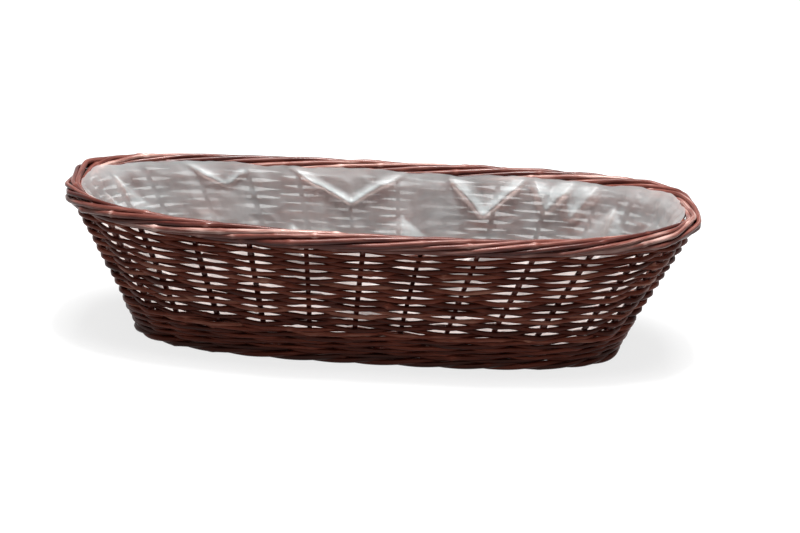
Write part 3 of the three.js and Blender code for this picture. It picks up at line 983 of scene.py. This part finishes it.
def liner_folds(walk, depth, height_share):
    """How far the film stands in from the weave: a step in past the border, waves, pleats, V folds, tents and
    crinkles. The folds fade out at the top edge, which lies against the border. The second value is how far
    the film lies double, with the top edge drawn double as a painted highlight."""
    share = walk / rim_length
    free = clamped((depth - EDGE_HELD) / EDGE_EASE)
    ends = np.abs(np.cos(2.0 * np.pi * share)) ** 6
    step = STEP_HEIGHT * clamped((STEP_DEPTH - depth) / STEP_EASE)
    wide = WIDE_HEIGHT * height_share ** 1.5 * (1.0 + wander(walk, WIDE_WAVE))
    low = LOW_HEIGHT * (1.0 + wander(walk, LOW_WAVE))
    pleats = np.abs(np.sin(2.0 * np.pi * PLEATS * share + 0.5)) ** 1.5
    pleats = PLEAT_HEIGHT * ends * height_share ** 1.2 * pleats
    v_relief, v_doubled = v_folds(share, depth)
    tent_relief, tent_doubled = tent_folds(share, depth)
    fine = crinkles(walk, depth) * (CRINKLE_LOW + (1.0 - CRINKLE_LOW) * height_share)
    folds = wide + low + pleats + v_relief + tent_relief + fine
    relief = step + folds * (EDGE_FOLDS + (1.0 - EDGE_FOLDS) * free)
    # painted highlight: the film is drawn double along the top edge, so that a bright line shows there
    edge_turned_and_highlight = TURNED_HIGHLIGHT_LAYER * clamped((TURNED_HIGHLIGHT_DEPTH - depth) / TURNED_HIGHLIGHT_EASE)
    return relief, np.maximum(edge_turned_and_highlight, np.maximum(v_doubled, tent_doubled) * free)


def liner_wall():
    """Points of the film on the wall, as columns round the planter and rows up to the top edge, and how far
    it lies double at each. It lies inside the wall lines by the liner's inset plus its folds."""
    columns = np.arange(LINER_COLUMNS) / LINER_COLUMNS
    foot, _, up, out, slope = (v[:, None, :] for v in wall(columns))
    walk = (columns * rim_length)[:, None]
    low = (LINER_FLOOR - BASE_HEIGHT) / up[..., 2:] + HEM_START
    edge = LINER_TOP + EDGE_SLOW[1] + wander(walk, *EDGE_SLOW) + wander(walk, *EDGE_QUICK)
    edge = edge - EDGE_END_RISE * np.abs(np.cos(2.0 * np.pi * walk / rim_length)) ** 8
    high = slope - edge[..., None]
    rise = np.linspace(0.0, 1.0, WALL_ROWS)[None, :, None]
    upward = low + (high - low) * rise
    depth = (high - upward)[..., 0]
    folds, doubled = liner_folds(np.broadcast_to(walk, depth.shape), depth, rise[..., 0])
    return foot + up * upward - out * (LINER_INSET + folds[..., None]), doubled


def liner_floor(hem):
    """Points of the film on the floor, as rows from near the middle out to the hem, with a low ripple."""
    spread = np.linspace(0.0, 1.0, FLOOR_ROWS, endpoint=False)[None, 1:, None]
    floor = hem * LEVEL * spread + UP * LINER_FLOOR
    ripple = np.sin(floor[..., 0:1] / RIPPLE_ALONG) * np.sin(floor[..., 1:2] / RIPPLE_ACROSS + 1.0)
    return floor + UP * np.abs(RIPPLE_HEIGHT * ripple * (1.0 - spread))


def liner_surface():
    """The film as one grid: columns round the planter, rows from the middle of the floor out to the wall and
    up."""
    sides, doubled = liner_wall()
    floor = liner_floor(sides[:, :1, :])
    sides[:, 0, 2] = LINER_FLOOR + HEM_LIFT
    grid = np.concatenate([floor, sides], axis=1)
    rows = grid.shape[1]
    points = np.concatenate([grid.reshape(-1, 3), [[0.0, 0.0, LINER_FLOOR]]])
    here = np.arange(LINER_COLUMNS)[:, None] * rows
    after = (np.arange(1, LINER_COLUMNS + 1) % LINER_COLUMNS)[:, None] * rows
    row = np.arange(rows - 1)[None, :]
    quads = np.stack([here + row, here + row + 1, after + row + 1, after + row], axis=-1)
    layers = np.append(np.concatenate([np.zeros(floor.shape[:2]), doubled], axis=1).ravel(), 0.0)
    return {
        "points": points,
        "quads": quads.reshape(-1, 4),
        "tris": np.stack([np.full(LINER_COLUMNS, len(points) - 1), here[:, 0], after[:, 0]], axis=-1),
        "grain": np.zeros_like(points),
        "tone": layers,
        "cut": np.zeros_like(layers),
    }


film = liner_surface()
liner = add_piece("polythene_liner", film, liner_film, "film", "film_liner")


# Stage, with sizes in metres

WHITE = (1.0, 1.0, 1.0, 1.0)
FLOOR_HALF = 6.0
FLOOR_GREY = (0.21, 0.21, 0.21, 1.0)
# lift of the floor near the planter, and distances between which it rises to 1, after a scaling of the floor
SHADOW_LIFT = 0.78
SHADOW_INNER = 0.10
SHADOW_OUTER = 0.34
SHADOW_SCALE = (0.45, 1.2, 1.0)
# strength of the surroundings as light
SKY_LIGHT = 0.14
# name, place, width, depth and watts
LAMPS = (
    ("top_softbox", (0.05, 0.0, 1.85), 0.9, 0.9, 51.0),
    ("key_lamp", (0.05, -0.10, 1.85), 0.16, 0.16, 22.0),
    ("front_softbox", (0.20, -1.60, 1.30), 1.4, 0.8, 4.0),
)
# camera: turns in radians, lens and sensor in millimetres, shifts as shares of the sensor's width
CAMERA_YAW = 0.0259
CAMERA_RISE = 0.470
CAMERA_ROLL = 0.0428
CAMERA_DISTANCE = 1.322
CAMERA_LENS = 59.84
CAMERA_SENSOR = 36.0
CAMERA_SHIFT = (0.0295, 0.083)


def shown_rays(tree):
    """1 for rays that show something to the camera, straight, mirrored or through the film, and else 0."""
    ray = add(tree, "ShaderNodeLightPath").outputs
    seen = ray["Is Camera Ray"]
    for kind in ("Is Glossy Ray", "Is Transmission Ray"):
        seen = add(tree, "ShaderNodeMath", {0: seen, 1: ray[kind]}, operation="MAXIMUM").outputs[0]
    return seen


def white_paper():
    """Matt white paper. Where it is shown it is lifted to white, and less so round the planter, where the
    shadow lies."""
    material = bpy.data.materials.new("white_paper_floor")
    tree = emptied(material)
    place = add(tree, "ShaderNodeTexCoord").outputs["Object"]
    oval = add(tree, "ShaderNodeMapping", {"Vector": place, "Scale": SHADOW_SCALE})
    far = add(tree, "ShaderNodeVectorMath", {0: oval.outputs[0]}, operation="LENGTH").outputs["Value"]
    rise = add(
        tree, "ShaderNodeMapRange",
        {"Value": far, "From Min": SHADOW_INNER, "From Max": SHADOW_OUTER, "To Min": SHADOW_LIFT},
        interpolation_type="SMOOTHSTEP",
    )
    lift = add(tree, "ShaderNodeMath", {0: shown_rays(tree), 1: rise.outputs[0]}, operation="MULTIPLY")
    paper = add(tree, "ShaderNodeBsdfDiffuse", {"Color": FLOOR_GREY})
    glow = add(tree, "ShaderNodeEmission", {"Color": WHITE, "Strength": lift.outputs[0]})
    both = add(tree, "ShaderNodeAddShader", {0: paper.outputs[0], 1: glow.outputs[0]})
    add(tree, "ShaderNodeOutputMaterial", {"Surface": both.outputs[0]})
    return material


def white_floor():
    """A wide sheet of paper under the planter."""
    mesh = bpy.data.meshes.new("paper_floor")
    corners = [(FLOOR_HALF * x, FLOOR_HALF * y, 0.0) for x, y in ((-1, -1), (1, -1), (1, 1), (-1, 1))]
    mesh.from_pydata(corners, [], [(0, 1, 2, 3)])
    mesh.materials.append(white_paper())
    floor = bpy.data.objects.new("paper_floor", mesh)
    bpy.context.scene.collection.objects.link(floor)


def placement(right, up, back, place):
    """Matrix of a lamp or a camera that is at a place and looks away from back."""
    turn = np.eye(4)
    turn[:3] = np.stack([right, up, back, place], axis=-1)
    return Matrix(turn.tolist())


def studio_light():
    """Even white surroundings, dim as light but white where they are shown, a wide soft lamp overhead, a
    small key lamp beside it for the highlights, and a weak one in front."""
    world = bpy.data.worlds.new("white_studio")
    bpy.context.scene.world = world
    tree = emptied(world)
    level = add(tree, "ShaderNodeMapRange", {"Value": shown_rays(tree), "To Min": SKY_LIGHT, "To Max": 1.0})
    sky = add(tree, "ShaderNodeBackground", {"Color": WHITE, "Strength": level.outputs[0]})
    add(tree, "ShaderNodeOutputWorld", {"Surface": sky.outputs[0]})
    for name, place, width, depth, watts in LAMPS:
        lamp = bpy.data.lights.new(name, "AREA")
        lamp.shape = "RECTANGLE"
        lamp.size = width
        lamp.size_y = depth
        lamp.energy = watts
        softbox = bpy.data.objects.new(name, lamp)
        bpy.context.scene.collection.objects.link(softbox)
        back = unit(np.array(place))
        right = unit(np.cross(np.array([0.0, 1.0, 0.0]), back))
        softbox.matrix_world = placement(right, np.cross(back, right), back, place)


def photo_camera():
    """Camera at the photograph's angle: turned, raised and rolled about the middle of the planter's foot."""
    level = math.cos(CAMERA_RISE)
    back = np.array([math.sin(CAMERA_YAW) * level, -math.cos(CAMERA_YAW) * level, math.sin(CAMERA_RISE)])
    right = unit(np.cross(-back, UP))
    up = np.cross(right, -back)
    c, s = math.cos(CAMERA_ROLL), math.sin(CAMERA_ROLL)
    lens = bpy.data.cameras.new("photo_camera")
    lens.sensor_width = CAMERA_SENSOR
    lens.lens = CAMERA_LENS
    lens.shift_x, lens.shift_y = CAMERA_SHIFT
    camera = bpy.data.objects.new("photo_camera", lens)
    camera.matrix_world = placement(c * right + s * up, c * up - s * right, back, back * CAMERA_DISTANCE)
    bpy.context.scene.collection.objects.link(camera)
    bpy.context.scene.camera = camera


white_floor()
studio_light()
photo_camera()
bpy.context.scene.view_settings.view_transform = "Standard"
